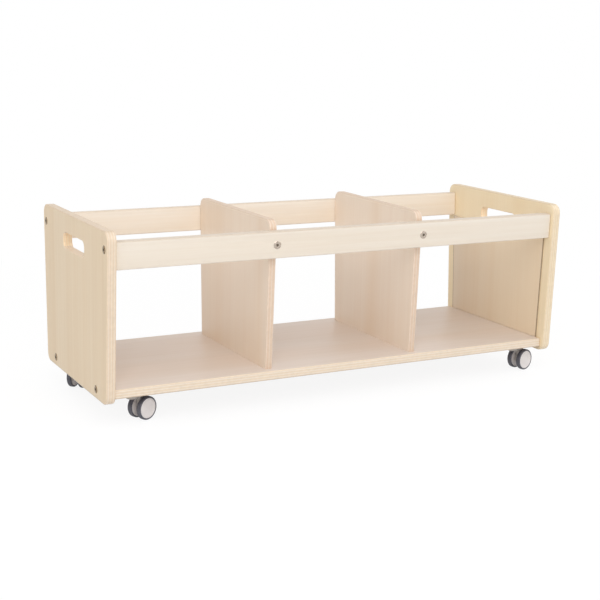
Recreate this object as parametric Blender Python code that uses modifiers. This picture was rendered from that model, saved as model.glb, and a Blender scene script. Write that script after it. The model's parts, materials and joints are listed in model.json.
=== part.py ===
"""Mobile storage shelf: a low birch plywood trolley with three open bays on four twin-wheel casters.

Metres, +Z up. The origin is on the floor under the middle of the shelf. The length runs along X,
the front faces -Y. Two end panels carry a bottom panel and two rails, two dividers stand in grooves.
"""
import math

import bmesh
import bpy
from mathutils import Matrix, Vector

# Driving dimensions: plywood carcass
OVERALL_LENGTH = 1.000
END_PANEL_HEIGHT = 0.320
END_DEPTH_TOP = 0.390
END_DEPTH_BOTTOM = 0.362
END_CORNER_RADIUS = 0.018
PANEL_THICKNESS = 0.018
DIVIDER_THICKNESS = 0.015
DIVIDER_CORNER_RADIUS = 0.018
DIVIDER_GROOVE_DEPTH = 0.005
BOTTOM_SETBACK = 0.008
BOTTOM_RISE = 0.009
RAIL_HEIGHT = 0.052
RAIL_THICKNESS = 0.018
RAIL_DROP = 0.019
RAIL_SETBACK = 0.008
LINER_THICKNESS = 0.002
LINER_INSET = 0.024
EDGE_ROUNDOVER = 0.0025

# Driving dimensions: hand-hold slot in each end panel
SLOT_WIDTH = 0.125
SLOT_HEIGHT = 0.030
SLOT_RADIUS = 0.012
SLOT_DROP = 0.053

# Driving dimensions: connector bolts and dowels
BOLT_HEAD_RADIUS = 0.008
BOLT_HEAD_HEIGHT = 0.0018
BOLT_HEAD_CHAMFER = 0.0006
BOLT_HEAD_SINK = 0.0012
BOLT_SHANK_RADIUS = 0.0035
BOLT_LENGTH = 0.050
BOLT_SOCKET_FLATS = 0.005
BOLT_SOCKET_DEPTH = 0.003
RAIL_BOLT_OFFSET = 0.0115
RAIL_DOWEL_OFFSET = -0.013
DOWEL_RADIUS = 0.004
DOWEL_LENGTH = 0.030
DOWEL_DEPTH_IN_END = 0.010
BOTTOM_BOLT_INSET = 0.049

# Driving dimensions: twin-wheel casters (headings in degrees: where each one trails to at rest)
CASTER_END_INSET = 0.064
CASTER_EDGE_INSET = 0.036
CASTER_HEADINGS = {"front_left": 24, "front_right": 15, "rear_left": 225, "rear_right": 22}
CASTER_TRAIL = 0.027
CASTER_HEIGHT = 0.057
WHEEL_RADIUS = 0.0225
TYRE_WIDTH = 0.0105
TYRE_SHOULDER = 0.0028
HUB_RADIUS = 0.0193
HUB_WIDTH = 0.0095
HUB_FACE_RECESS = 0.0006
HUB_RIM_WIDTH = 0.0024
AXLE_RADIUS = 0.003
AXLE_DEPTH_IN_HUB = 0.0068
WEB_THICKNESS = 0.012
WEB_RADIUS = 0.009
ARM_THICKNESS = 0.0105
WHEEL_RUNNING_GAP = 0.0005
KINGPIN_RADIUS = 0.004
KINGPIN_LENGTH = 0.0065
FLANGE_RADIUS = 0.010
FLANGE_HEIGHT = 0.003
BOSS_RADIUS = 0.0105
BOSS_HEIGHT = 0.0085
INSERT_RADIUS = 0.0055
INSERT_LENGTH = 0.013
STEM_RADIUS = 0.0038
STEM_LENGTH = 0.012

# Clearances and mesh fineness
FIT_GAP = 0.0003
CUT_OVERRUN = 0.001
ARC_STEP = math.radians(18)
ROUND_SIDES = 24
PIN_SIDES = 16
HEX_SIDES = 6
MERGE = 0.00001

# Worked out from the driving dimensions
END_PANEL_FOOT = CASTER_HEIGHT - BOTTOM_RISE
END_PANEL_TOP = END_PANEL_FOOT + END_PANEL_HEIGHT
EDGE_SLOPE = (END_DEPTH_TOP - END_DEPTH_BOTTOM) / 2 / END_PANEL_HEIGHT
EDGE_LEAN = math.atan(EDGE_SLOPE)
END_INNER_X = OVERALL_LENGTH / 2 - PANEL_THICKNESS
BOTTOM_DEPTH = END_DEPTH_BOTTOM - 2 * BOTTOM_SETBACK
BOTTOM_UNDERSIDE = CASTER_HEIGHT
BOTTOM_TOP = BOTTOM_UNDERSIDE + PANEL_THICKNESS
RAIL_MIDDLE = END_PANEL_TOP - RAIL_DROP - RAIL_HEIGHT / 2
DIVIDER_INSET = RAIL_SETBACK + RAIL_THICKNESS / math.cos(EDGE_LEAN) + FIT_GAP
DIVIDER_FOOT = BOTTOM_TOP - DIVIDER_GROOVE_DEPTH + FIT_GAP
BAY_WIDTH = (2 * END_INNER_X - 2 * DIVIDER_THICKNESS) / 3
DIVIDER_X = (BAY_WIDTH + DIVIDER_THICKNESS) / 2
BOTTOM_BOLT_Y = BOTTOM_DEPTH / 2 - BOTTOM_BOLT_INSET
CASTER_X = OVERALL_LENGTH / 2 - CASTER_END_INSET
CASTER_Y = BOTTOM_DEPTH / 2 - CASTER_EDGE_INSET
BOLT_HOLE_RADIUS = BOLT_SHANK_RADIUS + FIT_GAP
BOLT_REACH = BOLT_LENGTH + BOLT_HEAD_SINK
DOWEL_HOLE_RADIUS = DOWEL_RADIUS + FIT_GAP
WHEEL_OFFSET = WEB_THICKNESS / 2 + WHEEL_RUNNING_GAP + TYRE_WIDTH / 2
HOUSING_TOP = CASTER_HEIGHT - FLANGE_HEIGHT - 2 * FIT_GAP
SIDES = {"left": -1, "right": 1}
ENDS = {"front": -1, "rear": 1}


def half_depth(z):
    """Half of the end panel's depth at a height above the floor: it widens evenly from foot to top."""
    return END_DEPTH_BOTTOM / 2 + EDGE_SLOPE * (z - END_PANEL_FOOT)


def new_collection(name):
    collection = bpy.data.collections.new(name)
    bpy.context.scene.collection.children.link(collection)
    return collection


for old in list(bpy.data.objects):
    bpy.data.objects.remove(old, do_unlink=True)
PARTS = new_collection("mobile_storage_shelf")
CUTTERS = new_collection("cutters")


def make_material(name, colour, roughness, metallic=0.0):
    material = bpy.data.materials.new(name)
    material.use_nodes = True
    shader = material.node_tree.nodes["Principled BSDF"]
    shader.inputs["Base Color"].default_value = (*colour, 1.0)
    shader.inputs["Roughness"].default_value = roughness
    shader.inputs["Metallic"].default_value = metallic
    return material


BIRCH_PLY = make_material("lacquered_birch_ply", (0.72, 0.58, 0.41), 0.42)
RAIL_PLY = make_material("pale_birch_rail", (0.85, 0.76, 0.64), 0.40)
LINER_BOARD = make_material("liner_board", (0.65, 0.50, 0.33), 0.50)
DOWEL_BEECH = make_material("beech_dowel", (0.60, 0.42, 0.25), 0.60)
BOLT_STEEL = make_material("nickel_plated_steel", (0.42, 0.37, 0.32), 0.28, 1.0)
PLATED_STEEL = make_material("zinc_plated_steel", (0.62, 0.62, 0.60), 0.30, 1.0)
HOUSING_NYLON = make_material("grey_nylon", (0.48, 0.45, 0.43), 0.45)
HUB_NYLON = make_material("pale_grey_nylon", (0.68, 0.64, 0.63), 0.40)
TYRE_RUBBER = make_material("grey_rubber", (0.09, 0.09, 0.10), 0.60)


def put(obj, collection):
    """Moves an object into one collection only."""
    for other in list(obj.users_collection):
        other.objects.unlink(obj)
    collection.objects.link(obj)
    return obj


def finish(obj, name, material, smooth=False):
    """Names a sub-part, gives it its material and files it with the parts."""
    obj.name = name
    obj.data.name = name
    obj.data.materials.clear()
    obj.data.materials.append(material)
    if smooth:
        obj.data.shade_smooth()
        obj.data.set_sharp_from_angle(angle=math.radians(35))
    return put(obj, PARTS)


def rounded_outline(corners):
    """Points of a polygon whose corners (x, y, radius) are replaced by tangent arcs."""
    points = []
    for i, (x, y, radius) in enumerate(corners):
        here = Vector((x, y))
        back = (Vector(corners[i - 1][:2]) - here).normalized()
        ahead = (Vector(corners[(i + 1) % len(corners)][:2]) - here).normalized()
        if radius <= 0:
            points.append(here)
            continue
        half_angle = back.angle(ahead) / 2
        centre = here + (back + ahead).normalized() * radius / math.sin(half_angle)
        spoke = here + back * radius / math.tan(half_angle) - centre
        turn = math.pi - 2 * half_angle
        side = -1 if back.cross(ahead) > 0 else 1
        steps = max(1, round(turn / ARC_STEP))
        for k in range(steps + 1):
            points.append(centre + Matrix.Rotation(side * turn * k / steps, 2) @ spoke)
    return points


def board(outlines, thickness):
    """A flat board: a filled 2D curve, its first outline cut by the others, made a welded mesh."""
    curve = bpy.data.curves.new("outline", "CURVE")
    curve.dimensions = "2D"
    curve.fill_mode = "BOTH"
    curve.extrude = thickness / 2
    for outline in outlines:
        spline = curve.splines.new("POLY")
        spline.points.add(len(outline) - 1)
        for point, place in zip(spline.points, outline):
            point.co = (place.x, place.y, 0.0, 1.0)
        spline.use_cyclic_u = True
    shape = bpy.data.objects.new("outline", curve)
    CUTTERS.objects.link(shape)
    evaluated = shape.evaluated_get(bpy.context.evaluated_depsgraph_get())
    mesh = bpy.data.meshes.new_from_object(evaluated)
    bpy.data.objects.remove(shape)
    bpy.data.curves.remove(curve)
    welded = bmesh.new()
    welded.from_mesh(mesh)
    bmesh.ops.remove_doubles(welded, verts=welded.verts, dist=MERGE)
    bmesh.ops.recalc_face_normals(welded, faces=welded.faces)
    welded.to_mesh(mesh)
    welded.free()
    obj = bpy.data.objects.new("board", mesh)
    PARTS.objects.link(obj)
    return obj


def stand_across(obj, x):
    """Turns a board drawn in XY so that it stands across the shelf: its X along Y, its Y upwards."""
    obj.rotation_euler = (math.pi / 2, 0, math.pi / 2)
    obj.location = (x, 0, 0)


def box(size):
    bpy.ops.mesh.primitive_cube_add(size=1)
    obj = bpy.context.object
    obj.data.transform(Matrix.Diagonal((*size, 1.0)))
    return obj


def turned(profile, sides, closed=False):
    """A turned shape about Z: the profile runs down its outer side and is swept by a Screw modifier."""
    mesh = bpy.data.meshes.new("profile")
    edges = [(i, i + 1) for i in range(len(profile) - 1)]
    if closed:
        edges.append((len(profile) - 1, 0))
    mesh.from_pydata([(r, 0.0, z) for r, z in profile], edges, [])
    obj = bpy.data.objects.new("turned", mesh)
    PARTS.objects.link(obj)
    screw = obj.modifiers.new("turn", "SCREW")
    screw.steps = screw.render_steps = sides
    screw.use_merge_vertices = True
    screw.merge_threshold = MERGE
    return obj


def round_edges(obj, width):
    bevel = obj.modifiers.new("roundover", "BEVEL")
    bevel.width = width
    bevel.segments = 2
    bevel.limit_method = "ANGLE"
    bevel.angle_limit = math.radians(40)


def cut(target, cutter, operation="DIFFERENCE"):
    """Cuts a target with a cutter, or joins the two, by an exact Boolean."""
    put(cutter, CUTTERS)
    cutter.name = target.name + "_cut"
    cutter.hide_render = True
    cutter.display_type = "WIRE"
    boolean = target.modifiers.new("cut", "BOOLEAN")
    boolean.object = cutter
    boolean.operation = operation


def drill(target, radius, mouth, direction, depth, sides=PIN_SIDES):
    """Bores a round hole from its mouth on a face along a direction into the target."""
    direction = Vector(direction).normalized()
    length = depth + CUT_OVERRUN
    bpy.ops.mesh.primitive_cylinder_add(vertices=sides, radius=radius, depth=length)
    cutter = bpy.context.object
    cutter.location = Vector(mouth) + direction * (depth - CUT_OVERRUN) / 2
    cutter.rotation_euler = direction.to_track_quat("Z", "Y").to_euler()
    cut(target, cutter)


def bolt_bore(target, mouth, direction, depth):
    """Bores a bolt's hole, with a shallow seat that lets the head into the face."""
    drill(target, BOLT_HOLE_RADIUS, mouth, direction, depth)
    drill(target, BOLT_HEAD_RADIUS + FIT_GAP, mouth, direction, BOLT_HEAD_SINK, ROUND_SIDES)


def rail_point(end, offset):
    """A point on a rail's middle plane, offset up its lean from the middle of its height, at x = 0."""
    y = half_depth(RAIL_MIDDLE) - RAIL_SETBACK - RAIL_THICKNESS / 2 / math.cos(EDGE_LEAN)
    return Vector((0, end * (y + offset * math.sin(EDGE_LEAN)), RAIL_MIDDLE + offset * math.cos(EDGE_LEAN)))


def rail_outward(end):
    """Unit vector out of a rail's outer face, which overhangs with the panels' leaning edges."""
    return Vector((0, end * math.cos(EDGE_LEAN), -math.sin(EDGE_LEAN)))


def end_panel(name, side):
    """Trapezoid end panel with round corners, a hand-hold slot and holes for bolts and dowels."""
    foot, top = END_DEPTH_BOTTOM / 2, END_DEPTH_TOP / 2
    rim = rounded_outline([
        (-foot, END_PANEL_FOOT, END_CORNER_RADIUS), (foot, END_PANEL_FOOT, END_CORNER_RADIUS),
        (top, END_PANEL_TOP, END_CORNER_RADIUS), (-top, END_PANEL_TOP, END_CORNER_RADIUS)])
    reach = SLOT_WIDTH / 2
    low, high = (END_PANEL_TOP - SLOT_DROP + s * SLOT_HEIGHT / 2 for s in (-1, 1))
    slot = rounded_outline([
        (-reach, low, SLOT_RADIUS), (reach, low, SLOT_RADIUS),
        (reach, high, SLOT_RADIUS), (-reach, high, SLOT_RADIUS)])
    panel = finish(board([rim, slot], PANEL_THICKNESS), name, BIRCH_PLY)
    stand_across(panel, side * (END_INNER_X + PANEL_THICKNESS / 2))
    round_edges(panel, EDGE_ROUNDOVER)
    outer_x = side * OVERALL_LENGTH / 2
    inner_x = side * END_INNER_X
    through = PANEL_THICKNESS + CUT_OVERRUN
    for end in ENDS.values():
        bolt = rail_point(end, RAIL_BOLT_OFFSET)
        dowel = rail_point(end, RAIL_DOWEL_OFFSET)
        bolt_bore(panel, (outer_x, bolt.y, bolt.z), (-side, 0, 0), through)
        dowel_mouth = (inner_x, dowel.y, dowel.z)
        drill(panel, DOWEL_HOLE_RADIUS, dowel_mouth, (side, 0, 0), DOWEL_DEPTH_IN_END + FIT_GAP)
        low_mouth = (outer_x, end * BOTTOM_BOLT_Y, BOTTOM_TOP - PANEL_THICKNESS / 2)
        bolt_bore(panel, low_mouth, (-side, 0, 0), through)
    return panel


def bottom_panel():
    """Flat bottom panel between the end panels, grooved for the dividers and bored for bolts and inserts."""
    length = 2 * (END_INNER_X - FIT_GAP)
    panel = finish(box((length, BOTTOM_DEPTH, PANEL_THICKNESS)), "bottom_panel", BIRCH_PLY)
    panel.location.z = BOTTOM_UNDERSIDE + PANEL_THICKNESS / 2
    round_edges(panel, EDGE_ROUNDOVER)
    groove_length = 2 * (half_depth(BOTTOM_TOP) - DIVIDER_INSET + FIT_GAP)
    for side in SIDES.values():
        groove = box((DIVIDER_THICKNESS + 2 * FIT_GAP, groove_length, DIVIDER_GROOVE_DEPTH + CUT_OVERRUN))
        groove.location = (side * DIVIDER_X, 0, BOTTOM_TOP + (CUT_OVERRUN - DIVIDER_GROOVE_DEPTH) / 2)
        cut(panel, groove)
        for end in ENDS.values():
            bolt_mouth = (side * length / 2, end * BOTTOM_BOLT_Y, BOTTOM_TOP - PANEL_THICKNESS / 2)
            drill(panel, BOLT_HOLE_RADIUS, bolt_mouth, (-side, 0, 0), BOLT_REACH - PANEL_THICKNESS + FIT_GAP)
            insert_mouth = (side * CASTER_X, end * CASTER_Y, BOTTOM_UNDERSIDE)
            drill(panel, INSERT_RADIUS + FIT_GAP, insert_mouth, (0, 0, 1), INSERT_LENGTH + 2 * FIT_GAP)
    return panel


def divider(name, side):
    """Trapezoid divider that stands in a groove, its leaning edges against the two rails."""
    foot = half_depth(DIVIDER_FOOT) - DIVIDER_INSET
    top = half_depth(END_PANEL_TOP) - DIVIDER_INSET
    rim = rounded_outline([
        (-foot, DIVIDER_FOOT, 0), (foot, DIVIDER_FOOT, 0),
        (top, END_PANEL_TOP, DIVIDER_CORNER_RADIUS), (-top, END_PANEL_TOP, DIVIDER_CORNER_RADIUS)])
    panel = finish(board([rim], DIVIDER_THICKNESS), name, BIRCH_PLY)
    stand_across(panel, side * DIVIDER_X)
    round_edges(panel, EDGE_ROUNDOVER)
    for end in ENDS.values():
        outward = rail_outward(end)
        mouth = rail_point(end, 0) - outward * (RAIL_THICKNESS / 2)
        mouth.x = side * DIVIDER_X
        drill(panel, BOLT_HOLE_RADIUS, mouth, -outward, BOLT_REACH - RAIL_THICKNESS + 2 * FIT_GAP)
    return panel


def rail(name, end):
    """Straight rail that leans with the panels' edges, bored at its ends and at both dividers."""
    length = 2 * (END_INNER_X - FIT_GAP)
    bar = finish(box((length, RAIL_THICKNESS, RAIL_HEIGHT)), name, RAIL_PLY)
    bar.location = rail_point(end, 0)
    bar.rotation_euler.x = -end * EDGE_LEAN
    round_edges(bar, EDGE_ROUNDOVER)
    outward = rail_outward(end)
    for side in SIDES.values():
        for offset, radius, depth in (
                (RAIL_BOLT_OFFSET, BOLT_HOLE_RADIUS, BOLT_REACH - PANEL_THICKNESS),
                (RAIL_DOWEL_OFFSET, DOWEL_HOLE_RADIUS, DOWEL_LENGTH - DOWEL_DEPTH_IN_END)):
            mouth = rail_point(end, offset)
            mouth.x = side * length / 2
            drill(bar, radius, mouth, (-side, 0, 0), depth + FIT_GAP)
        mouth = rail_point(end, 0) + outward * (RAIL_THICKNESS / 2)
        mouth.x = side * DIVIDER_X
        bolt_bore(bar, mouth, -outward, RAIL_THICKNESS + CUT_OVERRUN)
    return bar


def end_liner(name, side):
    """Thin board on the inside of an end panel, from the bottom panel up to the rails."""
    low = BOTTOM_TOP + FIT_GAP
    high = RAIL_MIDDLE - RAIL_HEIGHT / 2 - EDGE_ROUNDOVER
    rim = rounded_outline([
        (-half_depth(low) + LINER_INSET, low, 0), (half_depth(low) - LINER_INSET, low, 0),
        (half_depth(high) - LINER_INSET, high, 0), (-half_depth(high) + LINER_INSET, high, 0)])
    liner = finish(board([rim], LINER_THICKNESS), name, LINER_BOARD)
    stand_across(liner, side * (END_INNER_X - FIT_GAP - LINER_THICKNESS / 2))
    return liner


def connector_bolt(name, seat, outward):
    """Flat-headed connector bolt with a hexagon socket, its head let into a face."""
    head, shank = BOLT_HEAD_RADIUS, BOLT_SHANK_RADIUS
    bolt = turned([
        (0, BOLT_HEAD_HEIGHT), (head - BOLT_HEAD_CHAMFER, BOLT_HEAD_HEIGHT),
        (head, BOLT_HEAD_HEIGHT - BOLT_HEAD_CHAMFER), (head, 0), (shank, 0),
        (shank, -BOLT_LENGTH), (0, -BOLT_LENGTH)], ROUND_SIDES)
    finish(bolt, name, BOLT_STEEL, smooth=True)
    outward = Vector(outward)
    bolt.location = Vector(seat) + outward * (FIT_GAP - BOLT_HEAD_SINK)
    bolt.rotation_euler = outward.to_track_quat("Z", "Y").to_euler()
    bpy.ops.mesh.primitive_cylinder_add(
        vertices=HEX_SIDES, radius=BOLT_SOCKET_FLATS / math.sqrt(3), depth=BOLT_SOCKET_DEPTH + CUT_OVERRUN)
    socket = bpy.context.object
    socket.parent = bolt
    socket.location.z = BOLT_HEAD_HEIGHT + (CUT_OVERRUN - BOLT_SOCKET_DEPTH) / 2
    cut(bolt, socket)
    return bolt


def rail_dowel(name, side, end):
    """Beech dowel that stops a rail end from turning on its single bolt."""
    bpy.ops.mesh.primitive_cylinder_add(vertices=PIN_SIDES, radius=DOWEL_RADIUS, depth=DOWEL_LENGTH)
    dowel = finish(bpy.context.object, name, DOWEL_BEECH, smooth=True)
    dowel.location = rail_point(end, RAIL_DOWEL_OFFSET)
    dowel.location.x = side * (END_INNER_X + DOWEL_DEPTH_IN_END - DOWEL_LENGTH / 2)
    dowel.rotation_euler.y = math.pi / 2


def caster_insert(name):
    """Threaded sleeve in the bottom panel that takes a caster's stem."""
    bore = STEM_RADIUS + FIT_GAP
    sleeve = turned([
        (INSERT_RADIUS, INSERT_LENGTH), (INSERT_RADIUS, 0),
        (bore, 0), (bore, INSERT_LENGTH)], PIN_SIDES, closed=True)
    return finish(sleeve, name, PLATED_STEEL, smooth=True)


def caster_stem(name):
    """Stem, flange and kingpin in one turned piece: it screws into the insert and carries the housing."""
    base = FLANGE_HEIGHT
    stem = turned([
        (0, base + STEM_LENGTH), (STEM_RADIUS, base + STEM_LENGTH), (STEM_RADIUS, base),
        (FLANGE_RADIUS, base), (FLANGE_RADIUS, 0), (KINGPIN_RADIUS, 0),
        (KINGPIN_RADIUS, -KINGPIN_LENGTH), (0, -KINGPIN_LENGTH)], PIN_SIDES)
    return finish(stem, name, PLATED_STEEL, smooth=True)


def caster_housing(name):
    """Moulded body: a disc about the axle, and an arm up between the wheels to a boss about the kingpin."""
    upright = Matrix.Rotation(math.pi / 2, 4, "X")
    bpy.ops.mesh.primitive_cylinder_add(vertices=ROUND_SIDES, radius=WEB_RADIUS, depth=WEB_THICKNESS)
    web = finish(bpy.context.object, name, HOUSING_NYLON)
    web.data.transform(Matrix.Translation((CASTER_TRAIL, 0, WHEEL_RADIUS)) @ upright)
    arm_top, arm_foot = HOUSING_TOP - BOSS_HEIGHT / 12, HOUSING_TOP - BOSS_HEIGHT * 11 / 12
    arm = board([rounded_outline([
        (-BOSS_RADIUS * 0.6, arm_top, 0), (-BOSS_RADIUS * 0.6, arm_foot, 0),
        (CASTER_TRAIL - WEB_RADIUS * 1.1, arm_foot, 0), (CASTER_TRAIL - WEB_RADIUS * 0.8, WHEEL_RADIUS, 0),
        (CASTER_TRAIL + WEB_RADIUS * 0.8, WHEEL_RADIUS, 0),
        (CASTER_TRAIL + WEB_RADIUS * 0.6, arm_foot, WEB_RADIUS / 3),
        (CASTER_TRAIL - WEB_RADIUS * 0.2, arm_top, WEB_RADIUS / 2)])], ARM_THICKNESS)
    arm.data.transform(upright)
    arm.parent = web
    cut(web, arm, "UNION")
    bpy.ops.mesh.primitive_cylinder_add(vertices=ROUND_SIDES, radius=BOSS_RADIUS, depth=BOSS_HEIGHT)
    boss = bpy.context.object
    boss.parent = web
    boss.location.z = HOUSING_TOP - BOSS_HEIGHT / 2
    cut(web, boss, "UNION")
    bore_depth = KINGPIN_LENGTH + FIT_GAP
    bpy.ops.mesh.primitive_cylinder_add(
        vertices=PIN_SIDES, radius=KINGPIN_RADIUS + FIT_GAP, depth=bore_depth + CUT_OVERRUN)
    pin_bore = bpy.context.object
    pin_bore.parent = web
    pin_bore.location.z = HOUSING_TOP + (CUT_OVERRUN - bore_depth) / 2
    cut(web, pin_bore)
    bpy.ops.mesh.primitive_cylinder_add(
        vertices=PIN_SIDES, radius=AXLE_RADIUS + FIT_GAP, depth=WEB_THICKNESS + 2 * CUT_OVERRUN)
    axle_bore = bpy.context.object
    axle_bore.parent = web
    axle_bore.location = (CASTER_TRAIL, 0, WHEEL_RADIUS)
    axle_bore.rotation_euler.x = math.pi / 2
    cut(web, axle_bore)
    return web


def caster_axle(name):
    """Steel axle through the web, its ends in the blind bores of both hubs."""
    length = 2 * (WHEEL_OFFSET - HUB_WIDTH / 2 + AXLE_DEPTH_IN_HUB)
    bpy.ops.mesh.primitive_cylinder_add(vertices=PIN_SIDES, radius=AXLE_RADIUS, depth=length)
    return finish(bpy.context.object, name, PLATED_STEEL, smooth=True)


def wheel_hub(name):
    """Moulded hub with a plain dished outer face (+Z) and a blind axle bore from the inner face."""
    half, bore = HUB_WIDTH / 2, AXLE_RADIUS + FIT_GAP
    rim = HUB_RADIUS - HUB_RIM_WIDTH
    bore_end = AXLE_DEPTH_IN_HUB + FIT_GAP - half
    hub = turned([
        (0, half - HUB_FACE_RECESS), (rim, half - HUB_FACE_RECESS), (rim + HUB_FACE_RECESS, half),
        (HUB_RADIUS, half), (HUB_RADIUS, -half), (bore, -half), (bore, bore_end), (0, bore_end)], ROUND_SIDES)
    return finish(hub, name, HUB_NYLON, smooth=True)


def wheel_tyre(name):
    """Soft tyre: a ring with round shoulders that sits on the hub."""
    inner, half = HUB_RADIUS + FIT_GAP, TYRE_WIDTH / 2
    ring = []
    for start, side in ((math.pi / 2, 1), (0, -1)):
        for k in range(3):
            angle = start - math.pi / 2 * k / 2
            ring.append((WHEEL_RADIUS + TYRE_SHOULDER * (math.cos(angle) - 1),
                         side * (half - TYRE_SHOULDER) + TYRE_SHOULDER * math.sin(angle)))
    ring += [(inner, -half), (inner, half)]
    return finish(turned(ring, ROUND_SIDES, closed=True), name, TYRE_RUBBER, smooth=True)


def empty(name, location, parent=None, turn=0.0):
    """An empty on a joint's axis, which carries the pieces that move about it."""
    axis = bpy.data.objects.new(name, None)
    PARTS.objects.link(axis)
    axis.parent = parent
    axis.location = location
    axis.rotation_euler.z = turn
    return axis


def caster(corner, side, end):
    """One twin-wheel caster: fixed insert and stem, a swivelling housing and axle, two free wheels.

    The wheels trail the stem. They are left and right as seen in the direction of travel.
    """
    place = Vector((side * CASTER_X, end * CASTER_Y, 0))
    prefix = corner + "_caster_"
    insert = caster_insert(prefix + "insert")
    insert.location = place + Vector((0, 0, BOTTOM_UNDERSIDE + FIT_GAP))
    stem = caster_stem(prefix + "stem")
    stem.location = place + Vector((0, 0, BOTTOM_UNDERSIDE - FIT_GAP - FLANGE_HEIGHT))
    swivel = empty(corner + "_swivel_axis", place, turn=math.radians(CASTER_HEADINGS[corner]))
    caster_housing(prefix + "housing").parent = swivel
    axle_axis = empty(corner + "_axle_axis", (CASTER_TRAIL, 0, WHEEL_RADIUS), parent=swivel)
    axle = caster_axle(prefix + "axle")
    axle.parent = axle_axis
    axle.rotation_euler.x = math.pi / 2
    for hand, sense in SIDES.items():
        for piece in (wheel_hub(prefix + hand + "_hub"), wheel_tyre(prefix + hand + "_tyre")):
            piece.parent = axle_axis
            piece.location.y = sense * WHEEL_OFFSET
            piece.rotation_euler.x = -sense * math.pi / 2


bottom_panel()
for side_name, side_sign in SIDES.items():
    end_panel(side_name + "_end_panel", side_sign)
    end_liner(side_name + "_end_liner", side_sign)
    divider(side_name + "_divider", side_sign)
for end_name, end_sign in ENDS.items():
    rail(end_name + "_rail", end_sign)
    for side_name, side_sign in SIDES.items():
        place_name = end_name + "_" + side_name
        end_face = side_sign * OVERALL_LENGTH / 2
        high_seat = rail_point(end_sign, RAIL_BOLT_OFFSET)
        high_seat.x = end_face
        low_seat = (end_face, end_sign * BOTTOM_BOLT_Y, BOTTOM_TOP - PANEL_THICKNESS / 2)
        connector_bolt(place_name + "_upper_bolt", high_seat, (side_sign, 0, 0))
        connector_bolt(place_name + "_lower_bolt", low_seat, (side_sign, 0, 0))
        out = rail_outward(end_sign)
        rail_seat = rail_point(end_sign, 0) + out * RAIL_THICKNESS / 2
        rail_seat.x = side_sign * DIVIDER_X
        connector_bolt(place_name + "_divider_bolt", rail_seat, out)
        rail_dowel(place_name + "_dowel", side_sign, end_sign)
        caster(place_name, side_sign, end_sign)
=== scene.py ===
import json
import math

import bpy
import numpy as np
from mathutils import Matrix, Vector

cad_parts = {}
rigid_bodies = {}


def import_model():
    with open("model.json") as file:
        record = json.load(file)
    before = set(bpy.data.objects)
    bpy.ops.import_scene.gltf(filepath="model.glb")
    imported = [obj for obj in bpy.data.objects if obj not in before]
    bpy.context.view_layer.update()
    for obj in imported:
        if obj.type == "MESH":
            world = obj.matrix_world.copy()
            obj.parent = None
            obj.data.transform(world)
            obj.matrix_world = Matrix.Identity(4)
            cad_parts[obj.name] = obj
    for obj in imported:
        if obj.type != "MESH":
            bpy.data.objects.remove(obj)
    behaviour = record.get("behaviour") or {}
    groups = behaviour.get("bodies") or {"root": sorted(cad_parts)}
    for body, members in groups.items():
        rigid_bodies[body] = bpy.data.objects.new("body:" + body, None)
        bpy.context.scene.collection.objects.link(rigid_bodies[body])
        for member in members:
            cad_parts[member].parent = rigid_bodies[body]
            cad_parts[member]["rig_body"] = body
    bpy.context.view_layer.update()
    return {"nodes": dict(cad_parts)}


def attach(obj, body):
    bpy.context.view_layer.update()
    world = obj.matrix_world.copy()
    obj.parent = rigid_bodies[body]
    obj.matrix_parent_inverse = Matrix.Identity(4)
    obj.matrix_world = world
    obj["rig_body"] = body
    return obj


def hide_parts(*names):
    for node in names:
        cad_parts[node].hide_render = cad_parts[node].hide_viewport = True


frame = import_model()


# Bottom panel: one sheet of 18 mm birch plywood that carries the load, let in between the end panels.
# Its long edges are rounded over with a router, sanded and lacquered, so the plies show as faint stripes.
# Bolts through the end panels bite into its short edges.
def linear(code):
    """sRGB hex to linear: c / 12.92 up to 0.04045, above it ((c + 0.055) / 1.055) to the power 2.4."""
    c = np.array([int(code[i:i + 2], 16) for i in (1, 3, 5)]) / 255
    return (*np.where(c <= 0.04045, c / 12.92, ((c + 0.055) / 1.055) ** 2.4).tolist(), 1.0)


def add(tree, kind, sockets=None, stops=None, **settings):
    """Adds a node: settings are its properties, sockets its inputs, where another node's output is linked.

    A colour ramp's stops are (place, colour): it starts with two of its own, and the others are added.
    """
    node = tree.nodes.new(kind)
    for key, value in settings.items():
        setattr(node, key, value)
    for key, value in (sockets or {}).items():
        if isinstance(value, bpy.types.NodeSocket):
            tree.links.new(value, node.inputs[key])
        else:
            node.inputs[key].default_value = value
    for i, (place, code) in enumerate(stops or []):
        ramp = node.color_ramp.elements
        stop = ramp[i] if i < 2 else ramp.new(place)
        stop.position = place
        stop.color = linear(code)
    return node


def new_material(name):
    """A material with nodes, together with its node tree and its shader."""
    material = bpy.data.materials.new(name)
    material.use_nodes = True
    return material, material.node_tree, material.node_tree.nodes["Principled BSDF"]


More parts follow.
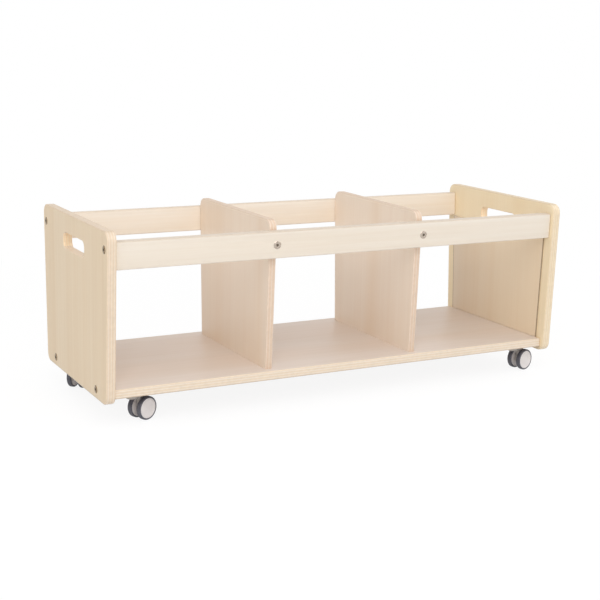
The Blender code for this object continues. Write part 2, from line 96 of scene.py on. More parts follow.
def birch_veneer(tree, local, face, grain, tint, seed):
    """Colour of sliced birch veneer, pale and even with soft long streaks, its relief and its finest noise.

    A streak noise (11 mm wide, 0.5 m long) and a hair-fine one (1.5 mm) lead from the face colour to that of
    the grain, and bands about 80 mm wide, where the veneer strips meet, tint it.
    """
    shift = (seed * 3.7, seed * 1.3, seed * 0.9)
    noises = []
    for scale, detail, roughness in (((2.0, 90.0, 0.0), 4.0, 0.6), ((12.0, 650.0, 0.0), 2.0, 0.5),
                                     ((0.5, 12.0, 0.0), 1.0, 0.5)):
        place = add(tree, "ShaderNodeVectorMath", {0: local, 1: scale, 2: shift}, operation="MULTIPLY_ADD")
        noises.append(add(tree, "ShaderNodeTexNoise", {
            "Vector": place.outputs[0], "Scale": 1.0, "Detail": detail, "Roughness": roughness}).outputs[0])
    streaks, hairs, bands = noises
    relief = add(tree, "ShaderNodeMath", {0: hairs, 1: 0.35, 2: streaks}, operation="MULTIPLY_ADD").outputs[0]
    veneer = add(tree, "ShaderNodeValToRGB", {0: relief}, stops=[(0.45, face), (0.95, grain)]).outputs[0]
    banding = add(tree, "ShaderNodeMapRange", {0: bands, 1: 0.42, 2: 0.62, 3: 0.0, 4: 0.75}).outputs[0]
    colour = add(tree, "ShaderNodeMix", {0: banding, 6: veneer, 7: linear(tint)},
                 data_type="RGBA", blend_type="MULTIPLY").outputs[2]
    return colour, relief, hairs


def sanded_plies(tree, local, depth, edge, thickness, plies, slot):
    """Colour of a sanded board edge: long-grain and end-grain plies in turn, a thin glue line between them.

    The plies are drawn about twice as thick as real ones, which would be too fine to show, and pores mottle
    them in patches of 7 mm and finer. A slot (middle, half height, half width, colours) gives the round ends
    of a hand-hold their own plies, paler and yellower: painted light on the slot's walls. A point is in it
    where the larger of |along - middle| / half height and |across| / half width is under 1.
    """
    turns = add(tree, "ShaderNodeMath", {0: depth, 1: plies / thickness / 2, 2: 0.25},
                operation="MULTIPLY_ADD").outputs[0]
    ply_place = add(tree, "ShaderNodeMath", {0: turns}, operation="FRACT").outputs[0]
    ramps = [
        add(tree, "ShaderNodeValToRGB", {0: ply_place}, stops=[
            (0.0, glue), (1.0, glue), (0.08, long_grain), (0.42, long_grain), (0.5, glue), (0.58, end_grain),
            (0.92, end_grain)]).outputs[0]
        for long_grain, end_grain, glue in ([edge, slot[3]] if slot else [edge])]
    ply = ramps[0]
    if slot:
        middle, half_height, half_width = slot[:3]
        offset = add(tree, "ShaderNodeVectorMath", {0: local, 1: (-middle, 0, 0)}, operation="ADD").outputs[0]
        apart = add(tree, "ShaderNodeVectorMath", {0: offset}, operation="ABSOLUTE").outputs[0]
        share = add(tree, "ShaderNodeVectorMath", {0: apart, 1: (half_height, half_width, 1.0)},
                    operation="DIVIDE").outputs[0]
        upward, sideways, _ = add(tree, "ShaderNodeSeparateXYZ", {0: share}).outputs
        larger = add(tree, "ShaderNodeMath", {0: upward, 1: sideways}, operation="MAXIMUM").outputs[0]
        inside = add(tree, "ShaderNodeMath", {0: larger, 1: 1.0}, operation="LESS_THAN").outputs[0]
        ply = add(tree, "ShaderNodeMix", {0: inside, 6: ply, 7: ramps[1]}, data_type="RGBA").outputs[2]
    pores = add(tree, "ShaderNodeTexNoise", {"Vector": local, "Scale": 140.0, "Detail": 4.0}).outputs[0]
    pore_shade = add(tree, "ShaderNodeMapRange", {0: pores, 1: 0.3, 2: 0.7, 3: 0.95, 4: 1.03}).outputs[0]
    return add(tree, "ShaderNodeVectorMath", {0: ply, 3: pore_shade}, operation="SCALE").outputs[0]


def lacquered_ply(name, face, grain, tint, edge, thickness, plies, centre, axes, seed, painted_shades=(), rim=None,
                  slot=None):
    """Birch plywood under clear satin lacquer: veneer on its faces, plies on its edges, a soft even sheen.

    The axes are along the grain, across it and through the board. Any point less than half a thickness from
    the middle plane is on an edge. Each painted shade (axis, from, to, colour) tints the board more and more
    along that axis: painted shade on edges and parts that get less light. A rim (slope, limit, colour)
    darkens the face where |across| - slope * along is over the limit.
    """
    material, tree, shader = new_material(name)
    turn = Matrix([list(row) for row in np.array(axes).T]).to_euler()
    here = add(tree, "ShaderNodeTexCoord").outputs["Object"]
    local = add(tree, "ShaderNodeMapping", {"Vector": here, "Location": centre, "Rotation": turn},
                vector_type="TEXTURE").outputs[0]
    along, across, depth = add(tree, "ShaderNodeSeparateXYZ", {0: local}).outputs
    face_colour, relief, hairs = birch_veneer(tree, local, face, grain, tint, seed)
    if rim:
        slope, limit, dark = rim
        off_centre = add(tree, "ShaderNodeMath", {0: across}, operation="ABSOLUTE").outputs[0]
        reach = add(tree, "ShaderNodeMath", {0: along, 1: -slope, 2: off_centre}, operation="MULTIPLY_ADD")
        beyond = add(tree, "ShaderNodeMath", {0: reach.outputs[0], 1: limit}, operation="GREATER_THAN")
        face_colour = add(tree, "ShaderNodeMix", {0: beyond.outputs[0], 6: face_colour, 7: linear(dark)},
                          data_type="RGBA").outputs[2]
    edge_colour = sanded_plies(tree, local, depth, edge, thickness, plies, slot)
    off_middle = add(tree, "ShaderNodeMath", {0: depth}, operation="ABSOLUTE").outputs[0]
    on_face = add(tree, "ShaderNodeMath", {0: off_middle, 1: thickness / 2 - 0.0002},
                  operation="GREATER_THAN").outputs[0]
    colour = add(tree, "ShaderNodeMix", {0: on_face, 6: edge_colour, 7: face_colour},
                 data_type="RGBA").outputs[2]
    # Painted shade: each one darkens the colour more and more along its span.
    for axis, start, end, painted_shade_colour in painted_shades:
        dim = add(tree, "ShaderNodeMapRange", {
            0: {"along": along, "across": across, "depth": depth}[axis], 1: start, 2: end}).outputs[0]
        colour = add(tree, "ShaderNodeMix", {0: dim, 6: colour, 7: linear(painted_shade_colour)},
                     data_type="RGBA", blend_type="MULTIPLY").outputs[2]
    rough = add(tree, "ShaderNodeMapRange", {0: hairs, 1: 0.3, 2: 0.7, 3: 0.40, 4: 0.50}).outputs[0]
    bump = add(tree, "ShaderNodeBump", {"Height": relief, "Strength": 0.12, "Distance": 0.0003}).outputs[0]
    tree.links.new(colour, shader.inputs["Base Color"])
    tree.links.new(rough, shader.inputs["Roughness"])
    tree.links.new(bump, shader.inputs["Normal"])
    shader.inputs["IOR"].default_value = 1.5
    shader.inputs["Coat Weight"].default_value = 0.12
    shader.inputs["Coat Roughness"].default_value = 0.3
    return material


def rounded(corners, radii, steps=9):
    """Closed path with round corners, and its outward normals, for corners in anticlockwise order.

    Corner k becomes an arc whose centre lies on its bisector at radius / sin(half angle). A point of it is
    centre + radius * n, where n is the normal of the side before, turned evenly to that of the side after.
    """
    here, radii = np.array(corners, float), np.array(radii, float)
    back, ahead = np.roll(here, 1, 0) - here, np.roll(here, -1, 0) - here
    back /= np.linalg.norm(back, axis=1)[:, None]
    ahead /= np.linalg.norm(ahead, axis=1)[:, None]
    half = np.arccos(np.clip((back * ahead).sum(1), -1, 1)) / 2
    inward = (back + ahead) / np.linalg.norm(back + ahead, axis=1)[:, None]
    centre = here + inward * (radii / np.sin(half))[:, None]
    start = np.arctan2(back[:, 0], -back[:, 1])
    angle = start[:, None] + (np.pi - 2 * half)[:, None] * np.linspace(0, 1, steps)
    normal = np.stack([np.cos(angle), np.sin(angle)], -1)
    return (centre[:, None] + radii[:, None, None] * normal).reshape(-1, 2), normal.reshape(-1, 2)


def grid_piece(name, points, normals=None, ring=False):
    """A piece from a grid of points (rows, columns, xyz) whose columns close up.

    Its first and last row end in flat faces, or, as a ring, meet.
    """
    rows, columns = points.shape[:2]
    index = np.arange(rows * columns).reshape(rows, columns)
    above = index if ring else index[:-1]
    below = np.roll(index, -1, 0) if ring else index[1:]
    faces = np.stack([above, below, np.roll(below, -1, 1), np.roll(above, -1, 1)], -1).reshape(-1, 4).tolist()
    if not ring:
        faces += [index[0].tolist(), index[-1, ::-1].tolist()]
    mesh = bpy.data.meshes.new(name)
    mesh.from_pydata(points.reshape(-1, 3).tolist(), [], faces)
    mesh.shade_smooth()
    if normals is None:
        mesh.set_sharp_from_angle(angle=math.radians(32))
    else:
        mesh.normals_split_custom_set_from_vertices(normals.reshape(-1, 3).tolist())
    piece = bpy.data.objects.new(name, mesh)
    bpy.context.scene.collection.objects.link(piece)
    return piece


def board(name, corners, radii, thickness, roundover, centre, axes, slot=None):
    """A board with rounded-over edges: a half-round-cornered section carried round the outline.

    Section angle t from 0 to 90 degrees: inset = roundover * (1 - sin t), height = thickness / 2 -
    roundover * (1 - cos t), then the same mirrored to the other face. Where there is a slot, the section runs
    on across the lower face, up the slot's wall and back, so that the board is one closed ring.
    """
    t = np.linspace(0, np.pi / 2, 6)
    inset = roundover * (1 - np.sin(t))
    height = thickness / 2 - roundover * (1 - np.cos(t))
    inset, height = np.r_[inset, inset[::-1]], np.r_[height, -height[::-1]]
    lean, rise = np.r_[np.sin(t), np.sin(t[::-1])], np.r_[np.cos(t), -np.cos(t[::-1])]
    rim, out = rounded(corners, radii)
    flat = rim - out * inset[:, None, None]
    facing = out * lean[:, None, None]
    if slot:
        hole, away = rounded(*slot)
        flat = np.concatenate([flat, hole + away * inset[::-1, None, None]])
        facing = np.concatenate([facing, -away * lean[::-1, None, None]])
        height, rise = np.r_[height, height[::-1]], np.r_[rise, rise[::-1]]
    a, b, c = (np.array(axis, float) for axis in axes)
    points = np.array(centre) + flat[..., :1] * a + flat[..., 1:] * b + height[:, None, None] * c
    normals = facing[..., :1] * a + facing[..., 1:] * b + rise[:, None, None] * c
    return grid_piece(name, points, normals, ring=bool(slot))


def fit(piece, material, node):
    """Gives a piece its finish and lets it stand for a node, on that node's body."""
    piece.data.materials.clear()
    piece.data.materials.append(material)
    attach(piece, frame["nodes"][node]["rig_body"])
    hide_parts(node)
    return piece


def tapered(foot_half, foot, top_half, top):
    """Corners of an outline, anticlockwise: half its width at foot and top, and the heights of these two."""
    return [(-foot_half, foot), (foot_half, foot), (top_half, top), (-top_half, top)]


X, Y, Z = (1, 0, 0), (0, 1, 0), (0, 0, 1)
ply_thickness, roundover, fit_gap = 0.018, 0.0025, 0.0003
panel_inside = 0.482
bottom_underside = 0.057
bottom_top = bottom_underside + ply_thickness
bottom_centre = (0, 0, bottom_underside + ply_thickness / 2)
bottom_half_length, bottom_half_width = panel_inside - fit_gap, 0.173
bottom_piece = board(
    "bottom_board", tapered(bottom_half_length, -bottom_half_width, bottom_half_length, bottom_half_width),
    [roundover] * 4, ply_thickness, roundover, bottom_centre, (X, Y, Z))
# Its face colours are painted darker than the other boards': painted shade on its up-facing top. The shade
# along its depth darkens its lower edges and underside: painted shade beneath it.
bottom_ply = lacquered_ply(
    "lacquered_birch_ply_bottom", "#E5D6CB", "#E1D2C5", "#FBF6F1", ("#F7E8D6", "#F1DEC6", "#E9D2B6"),
    ply_thickness, 7, bottom_centre, (X, Y, Z), 1, painted_shades=[("depth", -0.0060, -0.0082, "#E9E7E6")])
fit(bottom_piece, bottom_ply, "bottom_panel")


# Dividers: two boards of 15 mm birch plywood that stand in grooves of the bottom panel. Their leaning edges
# follow the end panels' taper and carry the rails, and their top corners are rounded off with a router.
panel_foot, panel_top = 0.048, 0.368
panel_foot_half, panel_top_half = 0.181, 0.195
edge_slope = (panel_top_half - panel_foot_half) / (panel_top - panel_foot)
edge_lean = math.atan(edge_slope)


def half_depth(z):
    """Half depth of an end panel at a height: it widens evenly from the panel's foot to its top."""
    return panel_foot_half + edge_slope * (z - panel_foot)


def upright(low, high, inset):
    """Outline of an upright board whose sides keep an inset from the end panels' sloping edges."""
    return tapered(half_depth(low) - inset, low, half_depth(high) - inset, high)


rail_setback, rail_thickness = 0.008, 0.018
divider_thickness, groove_depth = 0.015, 0.005
bay_width = (2 * panel_inside - 2 * divider_thickness) / 3
divider_x = (bay_width + divider_thickness) / 2
divider_foot = bottom_top - groove_depth + fit_gap
divider_inset = rail_setback + rail_thickness / math.cos(edge_lean) + fit_gap
corner_radius = 0.018
# The top edges are painted a shade darker: painted shade on the up-facing edges.
top_painted_shade = ("along", panel_top - 0.0028, panel_top - 0.0006, "#F0EDE8")
for side, seed in (("left", 2), ("right", 3)):
    x = -divider_x if side == "left" else divider_x
    divider = board(
        side + "_divider_board", upright(divider_foot, panel_top, divider_inset),
        [roundover, roundover, corner_radius, corner_radius], divider_thickness, roundover, (x, 0, 0),
        (Y, Z, X))
    # The dividers are painted darker towards their feet: painted shade under the front rail.
    ply = lacquered_ply(
        "lacquered_birch_ply_divider_" + side, "#F6E7D6", "#F3E2D0", "#FBF6F0",
        ("#F0DBC8", "#EBD1B9", "#E3C6A9"), divider_thickness, 5, (x, 0, 0), (Z, Y, (-1, 0, 0)), seed,
        painted_shades=[top_painted_shade, ("along", 0.30, 0.12, "#F9F8F7")])
    fit(divider, ply, side + "_divider")


# End panels: 18 mm birch plywood cut to a tapered outline with round corners, and a hand-hold slot routed
# through near the top. Edges and slot are rounded over, sanded and lacquered like the rest, and the plies in
# the slot's round ends are painted paler and yellower: painted light on the slot's walls.
slot_drop = 0.053
slot_middle = panel_top - slot_drop
slot_half_length, slot_half_height, slot_radius = 0.0625, 0.015, 0.012
slot_corners = tapered(slot_half_length, slot_middle - slot_half_height,
                       slot_half_length, slot_middle + slot_half_height)
# The slot's round ends are painted paler and yellower: painted light.
slot_ends_painted_light = (slot_middle, slot_half_height - roundover, slot_half_length + 0.0035,
             ("#FFEBCB", "#FFE3BE", "#F6D6AC"))
end_middle = panel_inside + ply_thickness / 2
# The feet of the end panels are painted a cool grey: painted shade along their lower edges.
foot_painted_shade = ("along", panel_foot + 0.0045, panel_foot + 0.0012, "#E9ECF4")
# Both panels are one plywood: the left one's colours are painted darker, painted shade, and the right one's
# paler, painted light.
for side, x, seed, face, grain, edge in (
        ("left", -end_middle, 4, "#E9D4B5", "#E3CCAB", ("#F1DFCA", "#EBD5BB", "#E3CAAB")),
        ("right", end_middle, 5, "#F9E8C7", "#F6E3C0", ("#F8E7CB", "#F2DDBC", "#EAD0AC"))):
    panel = board(
        side + "_end_board", upright(panel_foot, panel_top, 0), [corner_radius] * 4, ply_thickness,
        roundover, (x, 0, 0), (Y, Z, X), slot=(slot_corners, [slot_radius] * 4))
    ply = lacquered_ply(
        "lacquered_birch_ply_end_" + side, face, grain, "#FCF8F2", edge, ply_thickness, 7,
        (x, 0, 0), (Z, Y, (-1, 0, 0)), seed, painted_shades=[top_painted_shade, foot_painted_shade], slot=slot_ends_painted_light)
    fit(panel, ply, side + "_end_panel")


# End liners: thin boards glued to the inside of the end panels, from the bottom panel up to the rails.
# Their faces are a shade deeper than the panels' and painted darker towards the back, painted shade. Their
# edges and a narrow band along the front and rear of each face are dark and show as fine dark lines.
liner_thickness, liner_inset = 0.002, 0.024
rail_drop, rail_half_height = 0.019, 0.026
liner_low = bottom_top + fit_gap
liner_high = panel_top - rail_drop - 2 * rail_half_height - roundover
liner_radius, liner_roundover = 0.0008, 0.0003
rim_width, liner_line_dark = 0.0016, "#A8937A"
for side, seed in (("left", 6), ("right", 7)):
    x = (panel_inside - fit_gap - liner_thickness / 2) * (-1 if side == "left" else 1)
    liner = board(
        side + "_liner_board", upright(liner_low, liner_high, liner_inset), [liner_radius] * 4,
        liner_thickness, liner_roundover, (x, 0, 0), (Y, Z, X))
    # Painted shade: the liners darken towards the back of the shelf.
    ply = lacquered_ply(
        "lacquered_liner_" + side, "#F3E2C8", "#F0DDC1", "#FBF6F0", (liner_line_dark, liner_line_dark, "#97826A"),
        liner_thickness, 1, (x, 0, 0), (Z, Y, (-1, 0, 0)), seed, painted_shades=[("across", -0.03, 0.15, "#F0EFF2")],
        rim=(edge_slope, half_depth(0) - liner_inset - rim_width, liner_line_dark))
    fit(liner, ply, side + "_end_liner")


# Rails: straight bars of pale birch, 18 by 52 mm, that keep the load in at the front and the back. They lean
# with the panels' edges, lie against the dividers and are held at each end by a bolt and a dowel.
rail_half_length = panel_inside - fit_gap
rail_middle = panel_top - rail_drop - rail_half_height
rail_y = half_depth(rail_middle) - rail_setback - rail_thickness / 2 / math.cos(edge_lean)
# The rear rail's colours are painted paler than the front rail's: painted light inside the shelf.
for end, sign, seed, face, grain in (
        ("front", -1, 8, "#F4ECE1", "#EFE4D6"), ("rear", 1, 9, "#FBF3E8", "#F6EADA")):
    centre = (0, sign * rail_y, rail_middle)
    up = (0, sign * math.sin(edge_lean), math.cos(edge_lean))
    through = (0, -math.cos(edge_lean), sign * math.sin(edge_lean))
    rail = board(
        end + "_rail_bar", tapered(rail_half_length, -rail_half_height, rail_half_length, rail_half_height),
        [roundover] * 4, rail_thickness, roundover, centre, (X, up, through))
    # Their top edges are painted a shade darker: painted shade on the up-facing edge.
    ply = lacquered_ply(
        "lacquered_pale_birch_" + end, face, grain, "#FCF8F2", (face, grain, grain), rail_thickness, 7,
        centre, (X, up, through), seed,
        painted_shades=[("across", rail_half_height - 0.0028, rail_half_height - 0.0005, "#EAE3DB")])
    fit(rail, ply, end + "_rail")


# Rail dowels: plain beech pins glued into the end panels and the rail ends, out of sight once assembled.
# They stop a rail from turning on its one bolt. Raw beech is tan, with darker flecks 1.5 mm wide, 25 mm long.
def finish_solid(node, material):
    """Gives its finish to a solid that shows in the scene as it is."""
    solid = frame["nodes"][node]
    solid.data.materials.clear()
    solid.data.materials.append(material)


beech, beech_tree, beech_shader = new_material("raw_beech")
beech_place = add(beech_tree, "ShaderNodeTexCoord").outputs["Object"]
beech_place = add(beech_tree, "ShaderNodeMapping", {
    "Vector": beech_place, "Scale": (40.0, 700.0, 700.0)}).outputs[0]
beech_flecks = add(beech_tree, "ShaderNodeTexNoise", {"Vector": beech_place, "Scale": 1.0, "Detail": 3.0})
beech_colour = add(beech_tree, "ShaderNodeValToRGB", {0: beech_flecks.outputs[0]},
                   stops=[(0.35, "#D2AE84"), (0.7, "#B98F63")]).outputs[0]
beech_tree.links.new(beech_colour, beech_shader.inputs["Base Color"])
beech_shader.inputs["Roughness"].default_value = 0.65
for corner in ("front_left", "front_right", "rear_left", "rear_right"):
    finish_solid(corner + "_dowel", beech)


# Connector bolts: flat-headed furniture bolts with a hexagon socket, turned from steel and nickel plated.
# One is let in where each rail crosses a divider, and one at each corner of an end panel, painted a dark
# bronze: painted shade. Each socket is painted dark: painted shade.
def turned(name, profile, centre, axis, steps=48, ring=False):
    """A turned piece: point = centre + z * axis + r * (cos a * e1 + sin a * e2).

    There is one for each (r, z) of the profile and each angle a, with e1 and e2 square to the axis. A radius
    may itself vary with the angle, as a hexagon's does.
    """
    angle = np.arange(steps) * 2 * np.pi / steps
    axis = np.array(axis, float) / np.linalg.norm(axis)
    e1 = np.array(Z if abs(axis[2]) < 0.9 else X, float)
    e1 -= axis * (axis @ e1)
    e1 /= np.linalg.norm(e1)
    spoke = np.cos(angle)[:, None] * e1 + np.sin(angle)[:, None] * np.cross(axis, e1)
    radius = np.array([np.broadcast_to(r, steps) for r, _ in profile])
    height = np.array([z for _, z in profile])
    points = np.array(centre) + radius[..., None] * spoke + height[:, None, None] * axis
    return grid_piece(name, points, ring=ring)


def plated(name, low, high, socket):
    """Plated steel in faint clouds of 3 mm, its socket painted darker, painted shade: an attribute marks its
    faces.
    """
    material, tree, shader = new_material(name)
    here = add(tree, "ShaderNodeTexCoord").outputs["Object"]
    cloud = add(tree, "ShaderNodeTexNoise", {"Vector": here, "Scale": 350.0, "Detail": 2.0}).outputs[0]
    plate = add(tree, "ShaderNodeValToRGB", {0: cloud}, stops=[(0.3, low), (0.7, high)]).outputs[0]
    socket_shade_mask = add(tree, "ShaderNodeAttribute", attribute_name="socket").outputs["Fac"]
    colour = add(tree, "ShaderNodeMix", {0: socket_shade_mask, 6: plate, 7: linear(socket)},
                 data_type="RGBA").outputs[2]
    rough = add(tree, "ShaderNodeMapRange", {0: cloud, 1: 0.3, 2: 0.7, 3: 0.22, 4: 0.34}).outputs[0]
    tree.links.new(colour, shader.inputs["Base Color"])
    tree.links.new(rough, shader.inputs["Roughness"])
    shader.inputs["Metallic"].default_value = 1.0
    return material


nickel = plated("nickel_plated_steel", "#B8AA9C", "#CBBFB2", "#6E6256")
# Painted shade: the bolts at the end panels' corners in a dark bronze.
shaded_steel = plated("steel_painted_shade", "#857054", "#978264", "#4A3D2E")
bolt_steps, socket_half = 48, 0.0025
bolt_turn = np.arange(bolt_steps) * 2 * np.pi / bolt_steps
hexagon = socket_half / np.cos(np.mod(bolt_turn, np.pi / 3) - np.pi / 6)
bolt_profile = [
    (hexagon * 0.94, 0.0010), (hexagon, 0.0011), (hexagon, 0.0016), (hexagon + 0.0002, 0.0018),
    (0.0055, 0.0018), (0.0068, 0.0016), (0.0076, 0.0012), (0.0080, 0.0007), (0.0080, 0.0002), (0.0079, 0.0),
    (0.0035, 0.0), (0.0035, -0.0492), (0.0027, -0.0500)]
bolt_sink = 0.0009
end_face = panel_inside + ply_thickness
upper_rise, lower_reach = 0.0115, 0.124
for end, sign in (("front", -1), ("rear", 1)):
    out = np.array((0, sign * math.cos(edge_lean), -math.sin(edge_lean)))
    up = np.array((0, sign * math.sin(edge_lean), math.cos(edge_lean)))
    middle = np.array((0, sign * rail_y, rail_middle))
    for side, hand in (("left", -1), ("right", 1)):
        corner = end + "_" + side
        outward = np.array((hand, 0, 0))
        seats = {
            "upper_bolt": (middle + up * upper_rise + np.array((hand * end_face, 0, 0)), outward),
            "lower_bolt": (np.array((hand * end_face, sign * lower_reach, bottom_centre[2])), outward),
            "divider_bolt": (middle + out * rail_thickness / 2 + np.array((hand * divider_x, 0, 0)), out)}
        for node, (seat, facing) in seats.items():
            bolt = turned(corner + "_" + node + "_turned", bolt_profile, seat - facing * bolt_sink, facing,
                          bolt_steps)
            # The profile starts on the socket's floor, so its first two rings of faces and first flat face
            # are the socket's.
            # These faces take the socket's painted shade.
            socket_shade_mask = np.zeros(len(bolt.data.polygons))
            socket_shade_mask[:2 * bolt_steps] = 1
            socket_shade_mask[-2] = 1
            bolt.data.attributes.new("socket", "FLOAT", "FACE").data.foreach_set("value", socket_shade_mask)
            fit(bolt, nickel if node == "divider_bolt" else shaded_steel, corner + "_" + node)


# Casters, fixed metal: a threaded sleeve in the bottom panel, a zinc plated stem with flange and kingpin
# screwed into it, and the steel axle that carries the wheels. Zinc is bright grey, in clouds of 5 mm.
zinc, zinc_tree, zinc_shader = new_material("zinc_plated_steel")
zinc_place = add(zinc_tree, "ShaderNodeTexCoord").outputs["Object"]
zinc_cloud = add(zinc_tree, "ShaderNodeTexNoise", {
    "Vector": zinc_place, "Scale": 220.0, "Detail": 3.0}).outputs[0]
zinc_colour = add(zinc_tree, "ShaderNodeValToRGB", {0: zinc_cloud},
                  stops=[(0.3, "#B9BCBD"), (0.7, "#CFD1CF")]).outputs[0]
zinc_tree.links.new(zinc_colour, zinc_shader.inputs["Base Color"])
zinc_shader.inputs["Metallic"].default_value = 1.0
zinc_shader.inputs["Roughness"].default_value = 0.34
# Each caster's place and its heading in degrees.
caster_x, caster_y = 0.436, 0.137
casters = {"front_left": (-caster_x, -caster_y, 24), "front_right": (caster_x, -caster_y, 15),
           "rear_left": (-caster_x, caster_y, 225), "rear_right": (caster_x, caster_y, 22)}
for corner in casters:
    for node in ("insert", "stem", "axle"):
        finish_solid(corner + "_caster_" + node, zinc)


# Caster housings: moulded in grey nylon, a disc about the axle and an arm that rises from it between
# the wheels, over to a round boss about the kingpin.
def moulded(name, low, high, roughness):
    """Moulded plastic: an even colour with a faint cloud, and the fine grain that a mould leaves (0.4 mm)."""
    material, tree, shader = new_material(name)
    here = add(tree, "ShaderNodeTexCoord").outputs["Object"]
    cloud = add(tree, "ShaderNodeTexNoise", {"Vector": here, "Scale": 90.0, "Detail": 2.0}).outputs[0]
    grain = add(tree, "ShaderNodeTexNoise", {"Vector": here, "Scale": 2500.0, "Detail": 1.0}).outputs[0]
    colour = add(tree, "ShaderNodeValToRGB", {0: cloud}, stops=[(0.3, low), (0.7, high)]).outputs[0]
    bump = add(tree, "ShaderNodeBump", {"Height": grain, "Strength": 0.08, "Distance": 0.0001}).outputs[0]
    tree.links.new(colour, shader.inputs["Base Color"])
    tree.links.new(bump, shader.inputs["Normal"])
    shader.inputs["Roughness"].default_value = roughness
    shader.inputs["IOR"].default_value = 1.5
    return material


def caster_axes(degrees):
    """Level unit vectors of a caster at a heading: from its kingpin towards its axle, and along the axle."""
    heading = math.radians(degrees)
    trail = np.array((math.cos(heading), math.sin(heading), 0))
    return trail, np.array((-trail[1], trail[0], 0))


wheel_radius, caster_trail = 0.0225, 0.027
flange_height = 0.003
housing_top = bottom_underside - flange_height - 2 * fit_gap
arm_top, arm_foot = 0.0527, 0.0456
bar_corners = [(-0.0063, arm_foot), (0.026, arm_foot), (0.024, arm_top), (-0.0063, arm_top)]
leg_corners = [(0.0198, wheel_radius), (0.0342, wheel_radius), (0.0324, arm_foot), (0.0252, arm_top),
               (0.0171, arm_top), (0.0171, arm_foot)]
bar_radii = [0.002] * 4
leg_radii = [0.001, 0.001, 0.003, 0.0045, 0.001, 0.001]
bar_width, leg_width, moulded_edge = 0.0103, 0.0105, 0.001
web_profile = [(0.0080, 0.006), (0.0087, 0.0057), (0.0090, 0.005),
               (0.0090, -0.005), (0.0087, -0.0057), (0.0080, -0.006)]
boss_profile = [(0.0096, 0.0), (0.0103, -0.0004), (0.0105, -0.001),
                (0.0105, -0.0075), (0.0102, -0.0082), (0.0095, -0.0085)]
# The grey is the nylon's, painted a little darker as painted shade under the shelf.
housing_nylon = moulded("grey_nylon_housing", "#B9B3AD", "#C2BCB6", 0.42)
for corner, (x, y, degrees) in casters.items():
    node = corner + "_caster_housing"
    trail, axle = caster_axes(degrees)
    foot = np.array((x, y, 0))
    middle = np.array((x, y, wheel_radius)) + caster_trail * trail
    web = turned(node + "_web", web_profile, middle, -axle)
    fit(web, housing_nylon, node)
    bar = board(node + "_bar", bar_corners, bar_radii, bar_width, moulded_edge, foot, (trail, Z, -axle))
    leg = board(node + "_leg", leg_corners, leg_radii, leg_width, moulded_edge, foot, (trail, Z, -axle))
    boss = turned(node + "_boss", boss_profile, foot + np.array((0, 0, housing_top)), Z)
    for piece in (bar, leg, boss):
        piece.data.materials.append(housing_nylon)
        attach(piece, frame["nodes"][node]["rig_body"])


# Caster wheels: each a moulded hub with a plain, slightly dished face and a soft grey tyre with round
# shoulders pressed on to it. The two wheels of a caster turn freely on one axle.
hub_nylon = moulded("pale_grey_nylon_hub", "#F0EAE8", "#F5EFED", 0.38)
tyre_rubber = moulded("grey_thermoplastic_rubber", "#55555D", "#62626B", 0.55)
hub_profile = [
    (0.0160, 0.00415), (0.0165, 0.00422), (0.0168, 0.00450), (0.0171, 0.00475), (0.0186, 0.00475),
    (0.0191, 0.00455), (0.0193, 0.00420), (0.0193, -0.00420), (0.0190, -0.00475), (0.0033, -0.00475),
    (0.0033, 0.00235)]
wheel_offset = 0.01175
tyre_half_width, shoulder_radius = 0.00525, 0.0028
shoulder = np.linspace(np.pi / 2, 0, 8)
tyre_r = wheel_radius - shoulder_radius * (1 - np.cos(shoulder))
tyre_z = tyre_half_width - shoulder_radius * (1 - np.sin(shoulder))
tyre_profile = list(zip(np.r_[tyre_r, tyre_r[::-1], 0.01955, 0.01935, 0.01935, 0.01955],
                        np.r_[tyre_z, -tyre_z[::-1], -0.0051, -0.0048, 0.0048, 0.0051]))
for corner, (x, y, degrees) in casters.items():
    trail, axle = caster_axes(degrees)
    middle = np.array((x, y, wheel_radius)) + caster_trail * trail
    for hand, sense in (("left", -1), ("right", 1)):
        node = corner + "_caster_" + hand
        wheel_middle = middle + sense * wheel_offset * axle
        hub = turned(node + "_hub_moulded", hub_profile, wheel_middle, sense * axle)
        fit(hub, hub_nylon, node + "_hub")
        tyre = turned(node + "_tyre_moulded", tyre_profile, wheel_middle, sense * axle, ring=True)
        fit(tyre, tyre_rubber, node + "_tyre")


# Studio: a plain white floor that keeps a soft shadow near the shelf and fades out to white, an even white
# surround, a large soft light high in front and a weaker one above each end.
def seen(tree):
    """1 for a ray that shows the surround itself: to the camera, off something glossy or through glass."""
    path = add(tree, "ShaderNodeLightPath").outputs
    shown = add(tree, "ShaderNodeMath", {0: path["Is Camera Ray"], 1: path["Is Glossy Ray"]},
                operation="ADD").outputs[0]
    return add(tree, "ShaderNodeMath", {0: shown, 1: path["Is Transmission Ray"]},
               operation="ADD", use_clamp=True).outputs[0]


floor_mesh = bpy.data.meshes.new("studio_floor")
floor_mesh.from_pydata([(-8, -8, 0), (8, -8, 0), (8, 8, 0), (-8, 8, 0)], [], [(0, 1, 2, 3)])
floor = bpy.data.objects.new("studio_floor", floor_mesh)
bpy.context.scene.collection.objects.link(floor)
paper, paper_tree, _ = new_material("white_paper")
paper_tree.nodes.clear()
paper_place = add(paper_tree, "ShaderNodeTexCoord").outputs["Object"]
paper_reach = add(paper_tree, "ShaderNodeVectorMath", {0: paper_place}, operation="LENGTH").outputs["Value"]
paper_fade = add(paper_tree, "ShaderNodeMapRange", {0: paper_reach, 1: 0.7, 2: 1.5}).outputs[0]
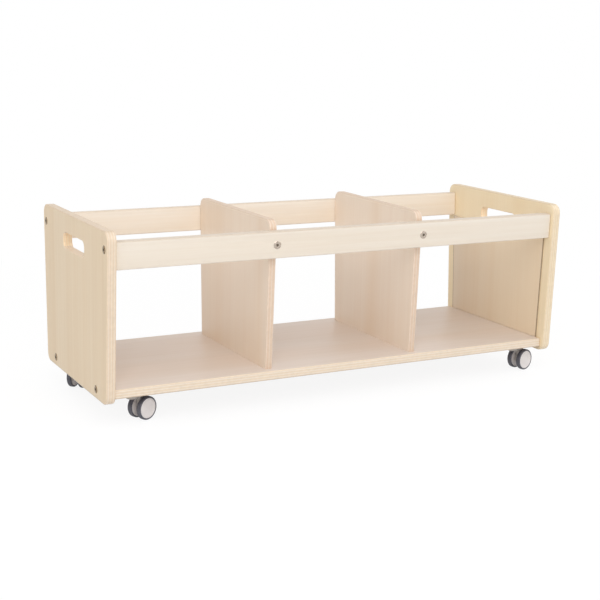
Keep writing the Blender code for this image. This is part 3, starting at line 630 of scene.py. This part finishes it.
# Light that lands on the floor meets matt white paper. What is seen of it is white light of its own and a
# thin grey that takes the shadow, and past 1.5 m plain white.
paper_matt = add(paper_tree, "ShaderNodeBsdfDiffuse", {"Color": linear("#F2F2F2")}).outputs[0]
paper_thin = add(paper_tree, "ShaderNodeBsdfDiffuse", {"Color": (0.13, 0.13, 0.13, 1.0)}).outputs[0]
paper_glow = add(paper_tree, "ShaderNodeEmission", {"Color": (1, 1, 1, 1), "Strength": 0.89}).outputs[0]
paper_near = add(paper_tree, "ShaderNodeAddShader", {0: paper_thin, 1: paper_glow}).outputs[0]
paper_far = add(paper_tree, "ShaderNodeEmission", {"Color": (1, 1, 1, 1), "Strength": 1.0}).outputs[0]
paper_lifted = add(paper_tree, "ShaderNodeMixShader", {0: paper_fade, 1: paper_near, 2: paper_far}).outputs[0]
paper_mix = add(paper_tree, "ShaderNodeMixShader", {
    0: seen(paper_tree), 1: paper_matt, 2: paper_lifted}).outputs[0]
add(paper_tree, "ShaderNodeOutputMaterial", {"Surface": paper_mix})
floor_mesh.materials.append(paper)

surround = bpy.data.worlds.new("white_surround")
bpy.context.scene.world = surround
surround.use_nodes = True
sky_tree = surround.node_tree
sky_tree.nodes.clear()
sky_light = add(sky_tree, "ShaderNodeBackground", {"Color": (1, 1, 1, 1), "Strength": 0.55}).outputs[0]
sky_white = add(sky_tree, "ShaderNodeBackground", {"Color": (1, 1, 1, 1), "Strength": 1.0}).outputs[0]
sky_mix = add(sky_tree, "ShaderNodeMixShader", {0: seen(sky_tree), 1: sky_light, 2: sky_white}).outputs[0]
add(sky_tree, "ShaderNodeOutputWorld", {"Surface": sky_mix})

softbox_size, softbox_aim = 2.0, Vector((0.0, 0.0, 0.2))
for name, place, power in (
        ("front_softbox", (-0.8, -2.4, 2.3), 39.0), ("left_softbox", (-2.5, -0.2, 2.0), 15.0),
        ("right_softbox", (2.5, -0.5, 2.0), 18.0)):
    lamp = bpy.data.lights.new(name, "AREA")
    lamp.shape = "SQUARE"
    lamp.size = softbox_size
    lamp.energy = power
    holder = bpy.data.objects.new(name, lamp)
    bpy.context.scene.collection.objects.link(holder)
    holder.location = place
    holder.rotation_euler = (softbox_aim - Vector(place)).to_track_quat("-Z", "Y").to_euler()


# Camera: a long lens a little above the shelf, to the left of its front. It is turned by a yaw, a pitch and a
# slight roll, and shifted a little, so that the shelf stands where it does in the photograph's frame.
yaw, pitch, roll = 0.491735, 0.181314, 0.020819
forward = np.array((math.sin(yaw) * math.cos(pitch), math.cos(yaw) * math.cos(pitch), -math.sin(pitch)))
right = np.array((math.cos(yaw), -math.sin(yaw), 0))
upward = np.cross(right, forward)
right, upward = (math.cos(roll) * right + math.sin(roll) * upward,
                 math.cos(roll) * upward - math.sin(roll) * right)
lens = bpy.data.cameras.new("long_lens")
lens.sensor_width = 36.0
lens.lens = 75.350
lens.shift_x = -0.015
lens.shift_y = -0.075
lens.clip_end = 50.0
camera = bpy.data.objects.new("long_lens", lens)
bpy.context.scene.collection.objects.link(camera)
camera_place = (-1.2075, -2.26106, 0.73096)
camera.matrix_world = Matrix(
    [[right[i], upward[i], -forward[i], camera_place[i]] for i in range(3)] + [[0, 0, 0, 1]])
bpy.context.scene.camera = camera
bpy.context.scene.view_settings.view_transform = "Standard"
